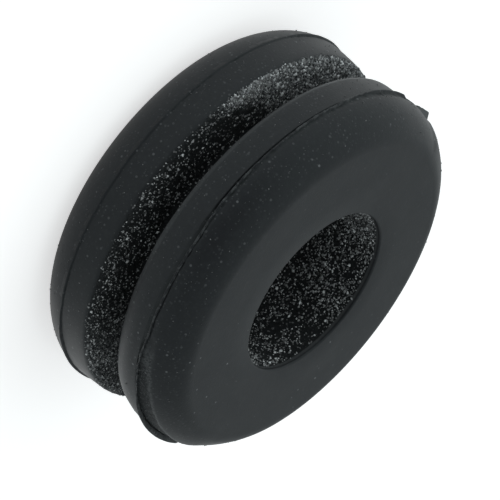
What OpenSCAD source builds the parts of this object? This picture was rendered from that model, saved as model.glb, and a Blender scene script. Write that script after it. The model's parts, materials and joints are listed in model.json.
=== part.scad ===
// Moulded rubber grommet: a ring with two crowned flanges, a groove between them for the edge of a panel
// and a straight cable hole. It stands on one end face, with Z along the cable hole.

/* [Panel and cable] */
// Diameter of the cable hole
bore_d = 8; // [5:0.1:9.5]
// Diameter of the groove floor, which fills the hole in the panel
groove_d = 12; // [10.5:0.1:14]
// Width of the groove, for the thickness of the panel
groove_w = 1.5; // [0.8:0.1:3]

/* [Flanges] */
// Diameter of each flange at its side band
band_d = 17.7; // [16.5:0.1:17.8]
// Height of the side band, from the groove wall to the parting line
band_h = 1.6; // [1:0.05:2.5]
// Height of the crown, from the parting line to the end face
crown_h = 1.7; // [1.2:0.05:2.2]
// Diameter of the crown at its foot, on the parting line
foot_d = 17.86; // [17.7:0.02:18.6]
// Diameter of the flat end face
face_d = 15.24; // [13.5:0.02:15.8]
// Radius of the arc that rounds the crown
crown_r = 2.3; // [2.1:0.05:4]
// Direction in which the upper side band leans in towards the groove, counted from +X
lean_at = 0; // [-180:1:180]
// How far the upper side band leans in at the groove
band_lean = 0.27; // [0.1:0.01:0.5]

/* [Edges] */
// Radius of the shoulder between the side band and the groove wall
shoulder_r = 0.3; // [0.1:0.01:0.5]
// Radius of the fillet at the foot of each groove wall
root_r = 0.2; // [0.05:0.05:0.35]
// Radius of the rounded rim at each end of the cable hole
rim_r = 0.1; // [0.05:0.01:0.3]

/* [Moulding flash] */
// How far the flash on each parting line stands out from the foot of the crown
flash_w = 0.12; // [0.03:0.01:0.4]
// Thickness of the flash
flash_t = 0.12; // [0.05:0.01:0.2]
// Direction of the torn tab of flash on the upper flange, counted from +X
tab_at = 173; // [-180:1:180]
// Length of the torn tab along the rim
tab_l = 1.8; // [1:0.1:4]
// How far the torn tab reaches past the flash
tab_reach = 0.21; // [0.1:0.01:0.4]
// Direction where the scar of trimming starts on the upper crown, counted from +X
scar_at = -66; // [-180:1:180]
// Depth of the scar where it ends, a quarter of the rim further on
scar_depth = 0.3; // [0.1:0.01:0.5]

/* [Hidden] */
$fn = 96;
// Length by which a cutting shape passes the surface that it cuts
over = 1;
bore_r = bore_d / 2;
groove_r = groove_d / 2;
band_r = band_d / 2;
foot_r = foot_d / 2;
face_r = face_d / 2;
flash_r = foot_r + flash_w;
flash_mid_r = foot_r + flash_w / 2;
flange_h = band_h + crown_h;
height = groove_w + 2 * flange_h;
middle = height / 2;
// Plane of the upper parting line
parting_z = middle + groove_w / 2 + band_h;
// The crown's arc runs from the edge of the end face to its foot, and its centre lies on the line that
// halves that chord
chord_run = foot_r - face_r;
chord_l = norm([chord_run, crown_h]);
centre_back = sqrt(pow(crown_r, 2) - pow(chord_l / 2, 2));
crown_centre = [
    (face_r + foot_r) / 2 - centre_back * crown_h / chord_l,
    band_h + crown_h / 2 - centre_back * chord_run / chord_l
];
// Width of the tab in degrees around the axis
tab_turn = tab_l / flash_r * 180 / PI;

// A corner of material between two edges that run along +X and +Y, rounded off by an arc
module corner(r) {
    difference() {
        square(r);
        translate([r, r]) circle(r);
    }
}

// Half of the ring between the flanges, from the middle plane up to the groove wall
module web_section() {
    translate([bore_r, 0]) square([groove_r - bore_r, groove_w / 2]);
    translate([groove_r, groove_w / 2]) mirror([0, 1]) corner(root_r);
}

// Flange from the groove wall up to the end face, without the rounded edges
module flange_blank() {
    translate([bore_r, 0]) square([band_r - bore_r, band_h]);
    translate([bore_r, band_h]) square([face_r - bore_r, crown_h]);
    intersection() {
        translate([face_r, band_h]) square([chord_run, crown_h]);
        translate(crown_centre) circle(crown_r);
    }
    translate([groove_r, band_h - flash_t]) square([flash_r - groove_r, flash_t]);
}

module flange_section() {
    difference() {
        flange_blank();
        translate([band_r, 0]) mirror([1, 0]) corner(shoulder_r);
        translate([bore_r, flange_h]) mirror([0, 1]) corner(rim_r);
    }
}

// Everything above the middle plane
module half_section() {
    web_section();
    translate([0, groove_w / 2]) flange_section();
}

module section() {
    half_section();
    mirror([0, 1]) half_section();
}

// Upright cut into the foot of the upper crown, where the flash was trimmed: it gets deeper along the rim
module trimming_scar() {
    translate([0, 0, parting_z]) rotate([0, 0, scar_at]) difference() {
        translate([0, -over, 0]) cube([foot_r + over, foot_r + 2 * over, crown_h]);
        translate([0, -scar_depth, -over]) cylinder(h = crown_h + 2 * over, r = foot_r);
    }
}

// Cone off the axis, outside which the upper side band is cut away: it leans in on one side only
module lean_cut() {
    translate([0, 0, parting_z - band_h]) rotate([0, 0, lean_at]) difference() {
        cylinder(h = band_h - flash_t, r = flash_r + over);
        translate([-band_lean / 2, 0, 0])
            cylinder(h = band_h, r1 = band_r - band_lean / 2, r2 = band_r + band_lean / 2);
    }
}

// Torn end of the flash, which starts half-way across it and is longest near one side
module torn_tab() {
    translate([0, 0, parting_z - flash_t]) rotate([0, 0, tab_at]) linear_extrude(flash_t) polygon([
        groove_r * [cos(tab_turn / 2), -sin(tab_turn / 2)],
        flash_mid_r * [cos(tab_turn / 2), -sin(tab_turn / 2)],
        (flash_r + tab_reach) * [cos(tab_turn / 4), -sin(tab_turn / 4)],
        flash_mid_r * [cos(tab_turn / 2), sin(tab_turn / 2)],
        groove_r * [cos(tab_turn / 2), sin(tab_turn / 2)]
    ]);
}

module grommet() {
    color([0.16, 0.17, 0.175]) {
        difference() {
            translate([0, 0, middle]) rotate_extrude() section();
            trimming_scar();
            lean_cut();
        }
        torn_tab();
    }
}

grommet();
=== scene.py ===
"""Looks of the rubber grommet: the moulded ring with its flash, trimming scar, grain, talc and dust."""
import json
import math

import bpy
from mathutils import Matrix, Vector


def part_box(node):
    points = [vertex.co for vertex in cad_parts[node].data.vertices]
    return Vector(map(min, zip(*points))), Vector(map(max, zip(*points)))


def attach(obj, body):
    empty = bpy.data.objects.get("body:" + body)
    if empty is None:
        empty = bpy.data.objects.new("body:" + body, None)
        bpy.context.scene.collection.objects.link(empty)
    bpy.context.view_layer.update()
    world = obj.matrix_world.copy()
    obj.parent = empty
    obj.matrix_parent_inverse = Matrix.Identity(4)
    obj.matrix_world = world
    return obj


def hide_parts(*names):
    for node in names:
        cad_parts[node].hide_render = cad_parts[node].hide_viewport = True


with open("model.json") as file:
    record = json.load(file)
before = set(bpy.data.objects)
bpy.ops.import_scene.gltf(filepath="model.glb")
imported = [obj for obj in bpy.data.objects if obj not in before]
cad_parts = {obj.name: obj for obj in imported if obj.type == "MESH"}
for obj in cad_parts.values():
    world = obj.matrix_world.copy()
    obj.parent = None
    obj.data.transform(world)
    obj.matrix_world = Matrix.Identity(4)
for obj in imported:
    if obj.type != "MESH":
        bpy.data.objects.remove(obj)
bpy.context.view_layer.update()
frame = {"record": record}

# Sizes of the ring, in millimetres
MM = 0.001
ring_low, ring_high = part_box("grommet")
mounts = {mount["name"]: mount for mount in frame["record"]["mounts"]}
HEIGHT = (ring_high.z - ring_low.z) / MM
MIDDLE = HEIGHT / 2
BORE_R = mounts["cable_hole"]["dims"]["r_mm"]
FLASH_R = ring_high.x / MM
FLASH_W = 0.12
FOOT_R = FLASH_R - FLASH_W
BAND_R = 8.85
BAND_H = 1.6
CROWN_H = 1.7
CROWN_R = 2.3
FACE_R = 7.62
GROOVE_R = 6.0
GROOVE_W = 1.5
SHOULDER_R = 0.3
ROOT_R = 0.2
RIM_R = 0.1
BAND_LEAN = 0.27
WALL_Z = MIDDLE + GROOVE_W / 2
PARTING_Z = WALL_Z + BAND_H

# Sizes that are finer than in the solid: the flash, the end face's edge, the parting line, the bore's lip
FLASH_T = 0.08
EDGE_R = 1.0
GUTTER = 0.14
GUTTER_H = 0.1
SEAM_H = 0.07
LEDGE_DROP = 0.12
LIP_H = 0.24
GRAIN_DEPTH = 0.06

# Directions round the ring, in degrees from -Y towards +X
TAB_FROM = -91.0
TAB_TIP = -99.9
TAB_TO = -103.0
SCAR_FROM = 24.0
SCAR_TO = 120.0
LEAN_AT = 90.0

# The torn tab's reach past the flash, and the scar's depth, upper end and slope, in millimetres
TAB_REACH = ring_low.x / MM / math.sin(math.radians(TAB_TIP)) - FLASH_R
SCAR_DEPTH = 0.3
SCAR_TOP = PARTING_Z + 0.9
SCAR_LEAN = 0.1

# Stretches of the ring, in degrees: where each starts, is full, starts to end and has ended
LOWER_FLASH_SCAR_SIDE = (50, 65, 95, 105)
LOWER_FLASH_TAB_SIDE = (-95, -85, -70, -60)
WHOLE_FLASH_SCAR_SIDE = (58, 70, 103, 104)
WHOLE_FLASH_TAB_SIDE = (-84, -81, -66, -58)
BARE_BESIDE_TAB = (-93, -90, -84, -81)
BARE_PAST_SCAR = (103, 104, 125, 135)
FILLED_GUTTER = (-22, -12, 22, 40)
RAISED_LINE = (-8, 12, 36, 50)
SUNK_LINE = (-86, -76, -58, -50)
OPEN_SEAM = (0, 8, 34, 44)
CURLED_BAND = (10, 30, 95, 115)
ROUNDED_EDGE = (10, 25, 40, 75)
FULL_CROWN = (-165, -130, -100, -96)
FULLEST_CROWN = (-108, -102, -100, -97)
SLACK_CROWN = (96, 106, 118, 135)
TALC_SMEAR = (-48, -40, -31, -22)
HAZE_SMEAR = (-50, -41, -31, -22)
TALC_SWATH = (-47, -42, -37, -30)

# Radii over which what is outside the bore gives way to what is in it
BORE_ZONE = (4.6, 4.3)

# Talc in the groove: the border past which it lies thick, which slants inside a radius, and a swath's radii
TALC_BORDER = (-26, -48)
SLANT_R = 8.2
SLANT_PER_MM = 8
SWATH_R = (7.3, 8.0)

# Colours of the rubber, from its moulded skin to the painted shade in its gutter and the scar's pits and the
# painted highlights on its edges, of the talc on it and of the light
SKIN_BLACK = (0.0084, 0.0077, 0.0098, 1)
GRAIN_BLACK = (0.0080, 0.0080, 0.0090, 1)
CLOUD_BLACK = (0.0146, 0.0140, 0.0168, 1)
MOTTLE_BLACK = (0.0180, 0.0180, 0.0205, 1)
SCAR_PIT_SHADE = (0.002, 0.0022, 0.0026, 1)
SCAR_GREY = (0.04, 0.041, 0.043, 1)
GUTTER_SHADE_BLACK = (0.0012, 0.0013, 0.0015, 1)
HIGHLIGHT_AND_PALE_GREY = (0.06, 0.062, 0.064, 1)
TALC_GREY = (0.33, 0.34, 0.35, 1)
TENT_WHITE = (0.925, 1.0, 1.01, 1)

# Mesh and noise
STEPS_ROUND = 600
SEED = 4.0

# The camera looks from -Y, above the end face, and is rolled. Its place is in metres, its angles in degrees,
# and its lens and sensor in millimetres
AIM = Vector((0.000286, 0.0, 0.004442))
DISTANCE = 0.1756
ELEVATION = 25.45
ROLL = 127.95
SENSOR = 36.0
LENS = 294.9


class Wire:
    """One output of a node. Arithmetic on wires adds Math nodes to their tree."""

    def __init__(self, tree, socket=None):
        self.tree = tree
        self.socket = socket

    def node(self, kind, settings=None, sockets=None, output=0):
        """Adds a node of any kind: its settings first, then the values or links of its sockets."""
        made = self.tree.nodes.new(kind)
        for name, value in (settings or {}).items():
            setattr(made, name, value)
        for name, value in (sockets or {}).items():
            if isinstance(value, Wire):
                self.tree.links.new(value.socket, made.inputs[name])
            else:
                made.inputs[name].default_value = value
        return Wire(self.tree, made.outputs[output]) if made.outputs else None

    def beside(self, output):
        """Another output of the same node."""
        return Wire(self.tree, self.socket.node.outputs[output])

    def math(self, operation, first, second=0.0):
        return self.node("ShaderNodeMath", {"operation": operation}, {0: first, 1: second})

    def __add__(self, other):
        return self.math("ADD", self, other)

    def __radd__(self, other):
        return self.math("ADD", other, self)

    def __sub__(self, other):
        return self.math("SUBTRACT", self, other)

    def __rsub__(self, other):
        return self.math("SUBTRACT", other, self)

    def __mul__(self, other):
        return self.math("MULTIPLY", self, other)

    def __rmul__(self, other):
        return self.math("MULTIPLY", other, self)

    def __truediv__(self, other):
        return self.math("DIVIDE", self, other)

    def __pow__(self, other):
        return self.math("POWER", self, other)

    def at_least(self, other):
        return self.math("MAXIMUM", self, other)

    def at_most(self, other):
        return self.math("MINIMUM", self, other)

    def above(self, limit):
        return self.math("GREATER_THAN", self, limit)

    def ramp(self, start, end, low=0.0, high=1.0, smooth=True):
        """Goes from low to high while this value goes from start to end."""
        kind = "SMOOTHSTEP" if smooth else "LINEAR"
        span = {"From Min": start, "From Max": end, "To Min": low, "To Max": high, "Value": self}
        return self.node("ShaderNodeMapRange", {"interpolation_type": kind}, span)

    def between(self, first, full, last, none):
        """1 from full to last, falling to 0 on both sides of them."""
        return self.ramp(first, full) * self.ramp(none, last)

    def vector(self, operation, other=None, scale=None):
        sockets = {0: self}
        if other is not None:
            sockets[1] = other
        if scale is not None:
            sockets["Scale"] = scale
        return self.node("ShaderNodeVectorMath", {"operation": operation}, sockets)

    def noise(self, scale, detail=2.0, roughness=0.5):
        """Noise from 0 to 1 at this vector."""
        sockets = {"Vector": self, "Scale": scale, "Detail": detail, "Roughness": roughness}
        return self.node("ShaderNodeTexNoise", {"noise_dimensions": "3D"}, sockets)

    def mix(self, first, second):
        """Colour between first and second, with this value as the share of second."""
        return self.node("ShaderNodeMix", {"data_type": "RGBA"}, {0: self, 6: first, 7: second}, 2)


# Section of the ring


def straight(start, end, steps):
    """Points from start towards end, with the end left out."""
    shares = [step / steps for step in range(steps)]
    return [(start[0] + (end[0] - start[0]) * t, start[1] + (end[1] - start[1]) * t) for t in shares]


def arc(centre, radius, start, end, steps):
    """Points on an arc between two angles, with the last left out."""
    turns = [math.radians(start + (end - start) * step / steps) for step in range(steps)]
    return [(centre[0] + radius * math.cos(t), centre[1] + radius * math.sin(t)) for t in turns]


def crown_centre():
    """Centre of the crown's arc, which runs from the edge of the end face to the crown's foot."""
    run = FOOT_R - FACE_R
    chord = math.hypot(run, CROWN_H)
    back = math.sqrt(CROWN_R**2 - (chord / 2) ** 2)
    return ((FACE_R + FOOT_R) / 2 - back * CROWN_H / chord, PARTING_Z + CROWN_H / 2 - back * run / chord)


def half_section():
    """Rows of the upper half from the bore's middle to the groove floor's: radius, height and zone."""
    centre = crown_centre()

    def crown_turn(height):
        return math.degrees(math.asin((height - centre[1]) / CROWN_R))

    # The edge of the end face is an arc that touches the face and the crown
    edge_z = HEIGHT - EDGE_R
    edge_r = centre[0] + math.sqrt((CROWN_R - EDGE_R) ** 2 - (edge_z - centre[1]) ** 2)
    edge_turn = math.degrees(math.atan2(edge_z - centre[1], edge_r - centre[0]))

    fin_z = PARTING_Z - FLASH_T
    fin_round = FLASH_T * 0.3
    lip_z = HEIGHT - LIP_H
    seam_turn = crown_turn(PARTING_Z + SEAM_H)
    shoulder = (BAND_R - SHOULDER_R, WALL_Z + SHOULDER_R)
    runs = [
        ("bore", straight((BORE_R, MIDDLE), (BORE_R, lip_z - 0.04), 18) + [(BORE_R, lip_z - 0.04)]),
        ("lip", straight((BORE_R, lip_z), (BORE_R, HEIGHT - RIM_R), 2)),
        ("rim", arc((BORE_R + RIM_R, HEIGHT - RIM_R), RIM_R, 180, 90, 3)),
        ("face", straight((BORE_R + RIM_R, HEIGHT), (edge_r, HEIGHT), 3)),
        ("crown", arc((edge_r, edge_z), EDGE_R, 90, edge_turn, 6)),
        ("crown", arc(centre, CROWN_R, edge_turn, crown_turn(SCAR_TOP), 5)),
        ("foot", arc(centre, CROWN_R, crown_turn(SCAR_TOP), seam_turn, 11)),
        ("seam", [(FOOT_R, PARTING_Z)]),
        ("fin_top", [(FLASH_R - 2 * fin_round, PARTING_Z)]),
        ("fin", [(FLASH_R, PARTING_Z - fin_round), (FLASH_R, fin_z + fin_round)]),
        ("fin", [(FLASH_R - fin_round, fin_z)]),
        ("gutter", [(BAND_R, fin_z), (BAND_R, fin_z - GUTTER_H)]),
        ("band", [(BAND_R, fin_z - GUTTER_H - 0.02)]),
        ("band", straight((BAND_R, fin_z - GUTTER_H - 0.05), (BAND_R, shoulder[1]), 3)),
        ("shoulder", arc(shoulder, SHOULDER_R, 0, -90, 5)),
        ("wall", straight((shoulder[0], WALL_Z), (GROOVE_R + ROOT_R, WALL_Z), 12)),
        ("root", arc((GROOVE_R + ROOT_R, WALL_Z - ROOT_R), ROOT_R, 90, 180, 2)),
        ("floor", straight((GROOVE_R, WALL_Z - ROOT_R), (GROOVE_R, MIDDLE), 3)),
    ]
    return [(radius, height, zone) for zone, points in runs for radius, height in points]


def section_mesh():
    """The whole section as one closed loop of edges, whose points carry what the ring needs to know."""
    upper = half_section()
    lower = [(radius, HEIGHT - height, zone) for radius, height, zone in reversed(upper[1:])]
    rows = upper + [(GROOVE_R, MIDDLE, "floor")] + lower
    tops = [True] * (len(upper) + 1) + [False] * len(lower)
    mesh = bpy.data.meshes.new("ring_section")
    loop = [(i, (i + 1) % len(rows)) for i in range(len(rows))]
    mesh.from_pydata([(radius * MM, 0, height * MM) for radius, height, zone in rows], loop, [])

    def marks(zones, only_top=False):
        """1 on the rows of these zones, and 0 on the others."""
        return [float(zone in zones and (top or not only_top)) for (r, z, zone), top in zip(rows, tops)]

    grain = marks({"bore", "wall", "root", "floor"})
    wear = marks({"shoulder"}, True)
    gutter = marks({"gutter"})
    for i, (radius, height, zone) in enumerate(rows):
        # The grain starts part-way round the lower flange's shoulder, and inside the upper flange's edge
        if zone == "shoulder" and not tops[i]:
            grain[i] = (height - HEIGHT + WALL_Z + SHOULDER_R) / SHOULDER_R * 1.05
        if zone == "wall" and tops[i] and radius > BAND_R - 2 * SHOULDER_R:
            grain[i] = 0.0
        # Only the shoulder of the upper flange gets the painted highlight, along its lower edge
        if height > WALL_Z + SHOULDER_R * 0.75:
            wear[i] = 0.0
        # On the lower flange only the row of the gutter beside the flash is open
        if zone == "gutter" and not tops[i] and height > HEIGHT - PARTING_Z + FLASH_T + GUTTER_H / 2:
            gutter[i] = 0.0
    values = {
        "ring_r": [radius for radius, height, zone in rows],
        "ring_z": [height for radius, height, zone in rows],
        "top": [float(top) for top in tops],
        "grain": grain,
        "fin": marks({"fin_top", "fin"}),
        "fin_top": marks({"seam", "fin_top"}),
        "seam": marks({"seam"}),
        "gutter": gutter,
        "foot": marks({"crown", "foot", "seam"}, True),
        "side": marks({"gutter", "band", "shoulder", "wall"}),
        "wear": wear,
        "lip": marks({"lip"}),
    }
    for name, numbers in values.items():
        mesh.attributes.new(name, "FLOAT", "POINT").data.foreach_set("value", numbers)
    return mesh


# Trees that make the pieces


def new_tree(name, inputs, output):
    """A Geometry Nodes tree with named inputs: the tree, its input wires and its output socket."""
    tree = bpy.data.node_groups.new(name, "GeometryNodeTree")
    tree.is_modifier = True
    for socket, kind in inputs.items():
        tree.interface.new_socket(socket, in_out="INPUT", socket_type="NodeSocket" + kind)
    tree.interface.new_socket(output, in_out="OUTPUT", socket_type="NodeSocketGeometry")
    group_in = tree.nodes.new("NodeGroupInput")
    group_out = tree.nodes.new("NodeGroupOutput")
    given = {socket: Wire(tree, group_in.outputs[socket]) for socket in inputs}
    return tree, given, group_out.inputs[output]


def attribute(start, name):
    """A value that the points of a mesh carry."""
    return start.node("GeometryNodeInputNamedAttribute", {"data_type": "FLOAT"}, {"Name": name})


def stored(geometry, name, value, domain="POINT"):
    """The same geometry, whose points or copies carry one more value."""
    sockets = {"Geometry": geometry, "Name": name, "Value": value}
    return geometry.node("GeometryNodeStoreNamedAttribute", {"data_type": "FLOAT", "domain": domain}, sockets)


def ring_tree():
    """Spins the section into a ring, tears its flash, cuts the scar and roughens the grainy zones."""
    inputs = {
        "Section": "Geometry",
        "Steps round": "Int",
        "Flash width": "Float",
        "Ledge drop": "Float",
        "Gutter depth": "Float",
        "Band lean": "Float",
        "Tab reach": "Float",
        "Scar depth": "Float",
        "Grain depth": "Float",
        "Seed": "Float",
        "Finish": "Material",
    }
    tree, given, result = new_tree("moulded_ring", inputs, "Ring")
    start = Wire(tree)

    # The section follows a circle, and each point keeps its place in the section and its turn in degrees
    section = start.node("GeometryNodeMeshToCurve", {}, {"Mesh": given["Section"]})
    steps = given["Steps round"]
    circle = start.node("GeometryNodeCurvePrimitiveCircle", {"mode": "RADIUS"}, {"Resolution": steps})
    circle = stored(circle, "turn", start.node("GeometryNodeInputIndex") / steps * 360 - 180)
    ring = start.node("GeometryNodeCurveToMesh", {}, {"Curve": circle, "Profile Curve": section})

    turn = attribute(start, "turn")
    radius = attribute(start, "ring_r")
    height = attribute(start, "ring_z")
    top = attribute(start, "top")
    fin = attribute(start, "fin")
    sine = start.math("SINE", turn * math.radians(1))
    cosine = start.math("COSINE", turn * math.radians(1))

    def place(r, z):
        return start.node("ShaderNodeCombineXYZ", {}, {0: r * sine, 1: r * cosine * -1, 2: z})

    # Noise is read where the plain ring lies, and the seed shifts it
    shift = start.node("ShaderNodeCombineXYZ", {}, {2: given["Seed"] * 10})
    plain = place(radius, height).vector("ADD", shift)
    broad = plain.noise(0.45)
    fine = plain.noise(2.4, 3)

    # The flash is torn to many widths, whole in places, gone beside the tab and narrow on the lower flange
    rise = turn.ramp(TAB_FROM, TAB_TIP, smooth=False)
    fall = turn.ramp(TAB_TO, TAB_TIP, smooth=False)
    tab = rise.at_most(fall) * top
    bits = plain.noise(5.0, 2)
    torn = (0.4 + (broad - 0.5) * 1.2 + (fine - 0.5) * 1.2 + (bits - 0.5) * 1.4).at_least(0).at_most(1)
    lower = torn * 0.08 + turn.between(*LOWER_FLASH_SCAR_SIDE) * 0.5
    lower = lower + turn.between(*LOWER_FLASH_TAB_SIDE) * 0.35
    upper = torn.at_least(turn.between(*WHOLE_FLASH_SCAR_SIDE))
    upper = upper.at_least(turn.between(*WHOLE_FLASH_TAB_SIDE) * 0.9)
    upper = upper * (1 - turn.between(*BARE_BESIDE_TAB)) * (1 - turn.between(*BARE_PAST_SCAR))
    torn = upper * top + lower * (1 - top)
    fin_in = fin * (1 - torn.at_least(tab)) * given["Flash width"]
    fin_in = fin_in.at_most((radius - FOOT_R).at_least(0))
    tab_out = fin * tab * given["Tab reach"]

    # A dark gutter runs under the flash, filled up or broken into dashes on the lower flange. A shallow one
    # runs on the crown's side of the upper flash
    gutter = attribute(start, "gutter")
    seam = attribute(start, "seam")
    open_low = (1 - turn.between(*FILLED_GUTTER)) * broad.ramp(0.3, 0.5) * bits.ramp(0.4, 0.56, 0.15, 1.0)
    ragged = 0.45 + 0.55 * fine.ramp(0.3, 0.6)
    raised = turn.between(*RAISED_LINE) * top
    sunk = turn.between(*SUNK_LINE) * top
    seam_in = seam * (0.1 + 0.5 * bits.ramp(0.4, 0.55) + 0.4 * turn.between(*OPEN_SEAM)) * top
    gutter_in = (gutter * (1 - 0.6 * raised) + seam_in) * ragged
    gutter_in = gutter_in * (top + 0.5 * open_low * (1 - top)) * given["Gutter depth"]
    wave = ((plain.noise(1.1) - 0.5) * 0.08 + raised * 0.12 - sunk * 0.1) * (fin + gutter + seam)

    # The upper side band leans in on one side, with a rounded edge, and the lower one flares a little
    side = attribute(start, "side")
    rising = (height - WALL_Z) / (BAND_H * 0.85) - 0.5
    aside = start.math("COSINE", (turn - LEAN_AT) * math.radians(1)) * 0.5
    leant = (aside - rising).at_least(0)
    curled = turn.between(*CURLED_BAND)
    rounded = 0.25 * curled + 0.6 * turn.between(*ROUNDED_EDGE)
    leant = leant + (leant**2.5 - leant) * curled + rounded * (0.5 - rising).at_least(0).at_most(1) ** 4
    lean_in = (radius - BAND_R + leant * given["Band lean"]).at_least(0) * side * top
    flare = height.ramp(HEIGHT - WALL_Z, HEIGHT - PARTING_Z + FLASH_T, smooth=False)
    lean_in = lean_in - (flare * 0.05 + (1 - flare) ** 2 * aside.at_most(0) * 0.2) * side * (1 - top)

    # The scar is a steep cut that gets deeper along the rim, and its ledge is torn out
    foot = attribute(start, "foot")
    in_scar = turn.between(SCAR_FROM - 4, SCAR_FROM + 4, SCAR_TO - 1, SCAR_TO) * top
    cut = start.math("SINE", (turn - SCAR_FROM) * math.radians(1)) * given["Scar depth"]
    lean = height.ramp(PARTING_Z + 0.5, PARTING_Z, 0, SCAR_LEAN, smooth=False)
    past = radius - (FOOT_R - cut + lean + (fine - 0.5) * 0.08)
    scar_in = past.at_least(0) * foot * in_scar
    drop = seam * in_scar * cut.ramp(0, 0.1) * given["Ledge drop"] * (0.4 + 0.8 * fine)
    edge = past.between(-0.06, 0, 0, 0.05) * foot * in_scar
    notch = edge * turn.ramp(52, 42) * 0.06

    # The crown is a little fuller past the tab, and less full past the scar
    swell = turn.between(*FULL_CROWN) * 0.05 + turn.between(*FULLEST_CROWN) * 0.03
    swell = swell - turn.between(*SLACK_CROWN) * 0.07
    swell = swell * foot * height.ramp(PARTING_Z, PARTING_Z + 0.4) * height.ramp(HEIGHT, HEIGHT - 0.5)
    reach = radius - fin_in + tab_out - gutter_in.at_least(scar_in) - notch - lean_in + swell
    shaped = place(reach, height - drop + wave).vector("SCALE", scale=MM)
    ring = start.node("GeometryNodeSetPosition", {}, {"Geometry": ring, "Position": shaped})
    ring = stored(ring, "scar", scar_in.ramp(0, 0.03))
    # Painted shade: the gutter and the seam's crease are marked to be painted near-black
    ring = stored(ring, "cleft", gutter_in.ramp(0, 0.1) * (gutter + seam).at_most(1))
    # Marks for painted highlights: along the scar's upper edge and on the tab's top
    ring = stored(ring, "scar_edge", edge * turn.ramp(40, 50))
    ring = stored(ring, "tab_top", attribute(start, "fin_top") * tab.ramp(0, 0.2))

    # Grain of the groove and the bore
    lumps = plain.noise(3.2, 4, 0.6) - 0.5
    depth = lumps * attribute(start, "grain") * given["Grain depth"] * MM
    push = start.node("GeometryNodeInputNormal").vector("SCALE", scale=depth)
    ring = start.node("GeometryNodeSetPosition", {}, {"Geometry": ring, "Offset": push})
    ring = start.node("GeometryNodeSetShadeSmooth", {}, {"Geometry": ring})
    ring = start.node("GeometryNodeRealizeInstances", {}, {"Geometry": ring})
    ring = start.node("GeometryNodeSetMaterial", {}, {"Geometry": ring, "Material": given["Finish"]})
    tree.links.new(ring.socket, result)
    return tree


def whereabouts(start, place):
    """Splits a place in millimetres into its X, its radius, its height and its direction in degrees."""
    x = start.node("ShaderNodeSeparateXYZ", {}, {0: place})
    flat = start.node("ShaderNodeCombineXYZ", {}, {0: x, 1: x.beside(1)})
    radius = start.node("ShaderNodeVectorMath", {"operation": "LENGTH"}, {0: flat}, 1)
    turn = start.math("ARCTAN2", x, x.beside(1) * -1) * math.degrees(1)
    return x, radius, x.beside(2), turn


def drifts(turn, radius):
    """Where talc lies thick in the groove: past a slanted border, and in a swath of its outer half."""
    slant = turn + (SLANT_R - radius).at_least(0) * SLANT_PER_MM
    swath = turn.between(*TALC_SWATH) * radius.ramp(*SWATH_R)
    return slant.ramp(*TALC_BORDER), swath


def talc_tree():
    """Scatters pale grains: talc in the bore and the groove, thicker in places, and dust on the outside."""
    inputs = {
        "Ring": "Geometry",
        "Bore grains per mm2": "Float",
        "Groove grains per mm2": "Float",
        "Dust grains per mm2": "Float",
        "Grain radius": "Float",
        "Seed": "Int",
        "Dull talc": "Material",
        "Pale talc": "Material",
        "White talc": "Material",
    }
    tree, given, result = new_tree("talc", inputs, "Talc")
    start = Wire(tree)

    place = start.node("GeometryNodeInputPosition").vector("SCALE", scale=1 / MM)
    x, radius, height, turn = whereabouts(start, place)
    grain = attribute(start, "grain").ramp(0.4, 0.7)
    scar = attribute(start, "scar")
    fin = attribute(start, "fin")

    in_bore = radius.ramp(*BORE_ZONE)
    patches = place.noise(0.9, 3).ramp(0.38, 0.62, 0.6, 1.4)
    edge = radius.ramp(8.05, 8.4)
    smear = turn.between(*TALC_SMEAR) * edge
    drift, swath = drifts(turn, radius)
    thick = 1 + 1.5 * drift + 0.2 * turn.ramp(20, 45) + 1.0 * turn.ramp(50, 75)
    groove = given["Groove grains per mm2"] * (1 + 0.2 * edge) * (thick + 1.5 * swath + 3 * smear)
    sides = start.math("ABSOLUTE", x) / radius
    # Fewer pale grains towards +X and more towards -X: painted light that evens out the brighter light on the
    # bore's +X wall
    bore = given["Bore grains per mm2"] * (1 + 0.7 * sides.ramp(0.6, 0.95)) * (1 - 0.4 * x / radius)
    level = height.between(0.05, 0.4, HEIGHT - 0.4, HEIGHT - 0.05)
    dust = given["Dust grains per mm2"] * level * (1 - fin.ramp(0, 0.1)) * (1 + 4 * scar)
    rate = grain * (in_bore * bore + (1 - in_bore) * groove) + (1 - grain) * (1 - in_bore) * dust
    spread = {"Mesh": given["Ring"], "Density": rate * patches / MM**2, "Seed": given["Seed"]}
    points = start.node("GeometryNodeDistributePointsOnFaces", {"distribute_method": "RANDOM"}, spread)

    def chance(step):
        sockets = {2: 0.0, 3: 1.0, 8: given["Seed"] + step}
        return start.node("FunctionNodeRandomValue", {"data_type": "FLOAT"}, sockets, 1)

    angles = {0: (0, 0, 0), 1: (math.tau, math.tau, math.tau), 8: given["Seed"] + 1}
    tumble = start.node("FunctionNodeRandomValue", {"data_type": "FLOAT_VECTOR"}, angles)
    size = given["Grain radius"] * (0.6 + 0.6 * chance(2) ** 2 + 0.6 * chance(2) ** 16) * MM
    size = size * (1 + 0.3 * turn.ramp(-35, -55) * (1 - in_bore))
    shape = start.node("GeometryNodeMeshUVSphere", {}, {"Segments": 4, "Rings": 2, "Radius": 1.0})
    long = start.node("ShaderNodeCombineXYZ", {}, {0: size * 0.85, 1: size * 0.85, 2: size * 1.3})
    laid = {"Points": points, "Instance": shape, "Rotation": tumble, "Scale": long}
    talc = start.node("GeometryNodeInstanceOnPoints", {}, laid)
    talc = stored(talc, "tone", chance(3), "INSTANCE")
    talc = start.node("GeometryNodeRealizeInstances", {}, {"Geometry": talc})
    tone = attribute(start, "tone")
    for name, from_tone in (("Dull talc", -1), ("Pale talc", 0.45), ("White talc", 0.85)):
        painted = {"Geometry": talc, "Selection": tone.above(from_tone), "Material": given[name]}
        talc = start.node("GeometryNodeSetMaterial", {}, painted)
    tree.links.new(talc.socket, result)
    return tree


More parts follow.
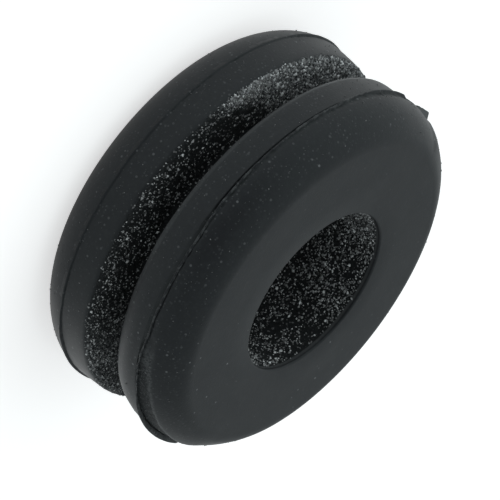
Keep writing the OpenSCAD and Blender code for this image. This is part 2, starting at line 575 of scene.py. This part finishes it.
def grown(name, mesh, tree, values):
    """Runs a tree on a mesh and returns the result as a plain mesh object."""
    maker = bpy.data.objects.new(name + "_maker", mesh)
    bpy.context.scene.collection.objects.link(maker)
    modifier = maker.modifiers.new(name, "NODES")
    modifier.node_group = tree
    for item in tree.interface.items_tree:
        if item.in_out == "INPUT" and item.name in values:
            modifier[item.identifier] = values[item.name]
    bpy.context.view_layer.update()
    made = maker.evaluated_get(bpy.context.evaluated_depsgraph_get())
    plain = bpy.data.meshes.new_from_object(made)
    bpy.data.objects.remove(maker)
    piece = bpy.data.objects.new(name, plain)
    bpy.context.scene.collection.objects.link(piece)
    return piece


# Finishes


def principled(name, **constants):
    """A material with one Principled shader, and the wire that starts its tree."""
    material = bpy.data.materials.new(name)
    material.use_nodes = True
    shader = material.node_tree.nodes["Principled BSDF"]
    for socket, value in constants.items():
        shader.inputs[socket.replace("_", " ")].default_value = value
    return material, shader, Wire(material.node_tree)


def rubber():
    """Matt black moulded rubber, grainy and talc-dusted in the groove and the bore."""
    material, shader, start = principled("rubber", Specular_IOR_Level=0.32, Specular_Tint=(0.88, 1.0, 1.0, 1))
    place = start.node("ShaderNodeTexCoord", output=3).vector("SCALE", scale=1 / MM)
    x, radius, height, turn = whereabouts(start, place)

    def marked(name):
        return start.node("ShaderNodeAttribute", {"attribute_name": name}, {}, 2)

    cloud = place.noise(0.7, 3)
    skin = place.noise(11, 3)
    pits = place.noise(7, 4, 0.65)
    mottle = place.noise(4, 3, 0.6)
    speckle = place.noise(9, 2, 0.7)
    grain = (marked("grain") + (mottle - 0.5) * 0.8).ramp(0.5, 0.62)
    scar = marked("scar")

    # Black rubber, duller in the grain and the scar, with painted shade in the scar's pits and in the gutter
    # and seam, and painted highlights on the scar's upper edge, the upper shoulder's lower edge and the tab's
    # top; the bore's lip and flakes on the upper flash are paler
    black = grain.mix(SKIN_BLACK, GRAIN_BLACK)
    black = (cloud.ramp(0.3, 0.8, 0, 0.3) * (1 - grain)).mix(black, CLOUD_BLACK)
    black = (mottle.ramp(0.45, 0.75, 0, 0.5) * (1 - grain)).mix(black, MOTTLE_BLACK)
    # Painted shade in the scar's pits, in place of the shade that its rough surface would cast
    black = (scar * speckle.ramp(0.42, 0.58)).mix(black, SCAR_PIT_SHADE)
    black = (scar * speckle.ramp(0.54, 0.64)).mix(black, SCAR_GREY)
    # Painted shade in the gutter and the seam's crease
    black = marked("cleft").mix(black, GUTTER_SHADE_BLACK)
    aside = start.math("ABSOLUTE", x) / radius
    # Painted highlights on the scar's upper edge, the upper shoulder's lower edge and the tab's top; the
    # bore's lip and flakes on the upper flash are paler too
    highlights_and_pale = marked("scar_edge") * speckle.ramp(0.36, 0.6)
    highlights_and_pale = highlights_and_pale + marked("wear") * mottle.ramp(0.2, 0.7, 0.5, 1.0) * aside.ramp(0.6, 0.95, 0.5, 1.5)
    flakes = mottle.ramp(0.48, 0.58) * height.above(MIDDLE) * turn.ramp(-62, -50) * 0.8
    highlights_and_pale = highlights_and_pale + marked("fin") * flakes + marked("lip") * 0.9 + marked("tab_top") * 2
    black = highlights_and_pale.at_most(1).mix(black, HIGHLIGHT_AND_PALE_GREY)

    # Talc lies as a haze in parts of the groove and on the bore's -X side, where the haze is also painted
    # light for the side that the brighter -X light reaches less
    smear = turn.between(*HAZE_SMEAR) * radius.ramp(7.9, 8.4)
    drift, swath = drifts(turn, radius)
    haze_and_painted_light = 0.04 + 0.65 * drift + 0.9 * smear + 0.4 * swath + 0.35 * turn.ramp(45, 75)
    # The haze on the bore's -X side is partly talc and partly painted light
    haze_and_painted_light = haze_and_painted_light * radius.ramp(5.0, 6.0) + 0.3 * (x / radius).ramp(-0.75, -1.0) * radius.ramp(*BORE_ZONE)
    haze_and_painted_light = haze_and_painted_light * grain * speckle.ramp(0.42, 0.64)

    def specks(scale, size, seed):
        """Round specks, one to a cell, of many strengths."""
        shifted = place.vector("ADD", (seed, seed, seed))
        cell = start.node("ShaderNodeTexVoronoi", {}, {"Vector": shifted, "Scale": scale})
        strength = start.node("ShaderNodeSeparateColor", {}, {0: cell.beside("Color")})
        return cell.ramp(size, size * 0.5), strength

    # Powder in the grain, dust and flecks on the outside, and motes on the end face
    powder, powder_strength = specks(9.0, 0.36, 8.0)
    powder = powder * powder_strength ** 2 * 0.15 * grain
    dust, dust_strength = specks(6.0, 0.32, 5.0)
    flecks, fleck_strength = specks(3.4, 0.24, 3.0)
    motes, mote_strength = specks(2.4, 0.14, 2.0)
    end_face = height.ramp(HEIGHT - 0.25, HEIGHT - 0.05)
    settled = (1 - 0.85 * end_face) * cloud.ramp(0.3, 0.7, 0.5, 1.2) * (1 - grain)
    dust = (dust * dust_strength ** 2 * 0.12 + flecks * fleck_strength ** 4 * 0.32) * settled
    dust = dust + motes * mote_strength.ramp(0.55, 1.0) * turn.ramp(20, 70, 0.1, 0.7) * end_face
    white = (powder + dust + haze_and_painted_light).at_most(1)
    colour = white.mix(black, TALC_GREY)

    roughness = 0.5 + (cloud - 0.5) * 0.12 + grain * 0.35 + scar * 0.2 + white * 0.2
    relief = (skin - 0.5) * 0.006 * (1 - grain) + (pits - 0.5) * 0.12 * grain + (speckle - 0.5) * 0.06 * scar
    bump = start.node("ShaderNodeBump", {}, {"Strength": 1.0, "Distance": MM, "Height": relief})
    links = start.tree.links
    links.new(colour.socket, shader.inputs["Base Color"])
    links.new(roughness.socket, shader.inputs["Roughness"])
    links.new(bump.socket, shader.inputs["Normal"])
    return material


def talc(name, tone):
    """A grain of talc, paler or duller with the rubber that clings to it."""
    colour = (tone, tone * 1.02, tone * 1.03, 1)
    return principled(name, Base_Color=colour, Roughness=0.8, Specular_IOR_Level=0.3)[0]


# Stage


def floor():
    """A wide pale floor that shows white and keeps the soft shadow. The rubber mirrors it dimmer on the
    +X side, apart from a strip beside the ring.
    """
    side = 2.0
    corners = [(-side, -side, 0), (side, -side, 0), (side, side, 0), (-side, side, 0)]
    mesh = bpy.data.meshes.new("floor")
    mesh.from_pydata(corners, [], [(0, 1, 2, 3)])
    piece = bpy.data.objects.new("floor", mesh)
    bpy.context.scene.collection.objects.link(piece)
    material = bpy.data.materials.new("pale_floor")
    material.use_nodes = True
    material.node_tree.nodes.clear()
    start = Wire(material.node_tree)
    matt = start.node("ShaderNodeBsdfDiffuse", {}, {"Color": (0.8, 0.8, 0.8, 1)})
    seen = start.node("ShaderNodeLightPath")
    mirrored = seen.beside("Is Glossy Ray").at_least(seen.beside("Is Transmission Ray"))
    spot = start.node("ShaderNodeTexCoord", output=3).vector("SCALE", scale=1 / MM)
    x = start.node("ShaderNodeSeparateXYZ", {}, {0: spot})
    beside_ring = x.between(4, 8, 11, 16) * x.beside(1).ramp(-8, 0)
    glint = x.ramp(-15, 15, 0.5, 0.28) + 0.65 * beside_ring
    strength = 0.6 * seen + mirrored * glint
    glow = start.node("ShaderNodeEmission", {}, {"Color": (1, 1, 1, 1), "Strength": strength})
    both = start.node("ShaderNodeAddShader", {}, {0: matt, 1: glow})
    start.node("ShaderNodeOutputMaterial", {}, {"Surface": both})
    mesh.materials.append(material)


def sky():
    """A white tent of soft light, brighter on the -X side, with a dark opening towards the front."""
    world = bpy.data.worlds.new("studio")
    bpy.context.scene.world = world
    world.use_nodes = True
    start = Wire(world.node_tree)
    direction = start.node("ShaderNodeTexCoord", output=0)
    x = start.node("ShaderNodeSeparateXYZ", {}, {0: direction})
    y = x.beside(1)
    z = x.beside(2)
    opening = (0.43 * z - 0.9 * y).at_least(0) ** 6
    tone = (0.76 - 0.26 * x - 0.17 * y - 0.92 * opening).at_least(0.02)
    background = world.node_tree.nodes["Background"]
    start.tree.links.new(tone.socket, background.inputs["Strength"])
    background.inputs["Color"].default_value = TENT_WHITE


def camera():
    """A long lens that looks down at the ring, turned about its own axis."""
    data = bpy.data.cameras.new("camera")
    data.sensor_width = SENSOR
    data.lens = LENS
    data.clip_start = DISTANCE / 100
    data.clip_end = DISTANCE * 100
    piece = bpy.data.objects.new("camera", data)
    bpy.context.scene.collection.objects.link(piece)
    turn = Matrix.Rotation(math.radians(90 - ELEVATION), 4, "X") @ Matrix.Rotation(math.radians(ROLL), 4, "Z")
    back = turn @ Vector((0, 0, 1))
    piece.matrix_world = Matrix.Translation(AIM + back * DISTANCE) @ turn
    bpy.context.scene.camera = piece


camera()
floor()
sky()
bpy.context.scene.view_settings.view_transform = "Standard"

ring = grown("moulded_ring", section_mesh(), ring_tree(), {
    "Steps round": STEPS_ROUND,
    "Flash width": FLASH_W,
    "Ledge drop": LEDGE_DROP,
    "Gutter depth": GUTTER,
    "Band lean": BAND_LEAN,
    "Tab reach": TAB_REACH,
    "Scar depth": SCAR_DEPTH,
    "Grain depth": GRAIN_DEPTH,
    "Seed": SEED,
    "Finish": rubber(),
})
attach(ring, "root")
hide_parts("grommet")

scatter = talc_tree()
shades = {"bore_talc": (0.15, 0.36, 0.75), "groove_talc": (0.14, 0.34, 0.7), "dust": (0.09, 0.14, 0.25)}
layers = {
    "bore_talc": {"Bore grains per mm2": 68.0, "Grain radius": 0.054, "Seed": 11},
    "groove_talc": {"Groove grains per mm2": 33.0, "Grain radius": 0.05, "Seed": 12},
    "dust": {"Dust grains per mm2": 3.2, "Grain radius": 0.026, "Seed": 13},
}
for name, values in layers.items():
    for kind, tone in zip(("Dull", "Pale", "White"), shades[name]):
        values[kind + " talc"] = talc(kind.lower() + "_" + name, tone)
    piece = grown(name, ring.data, scatter, values)
    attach(piece, "root")
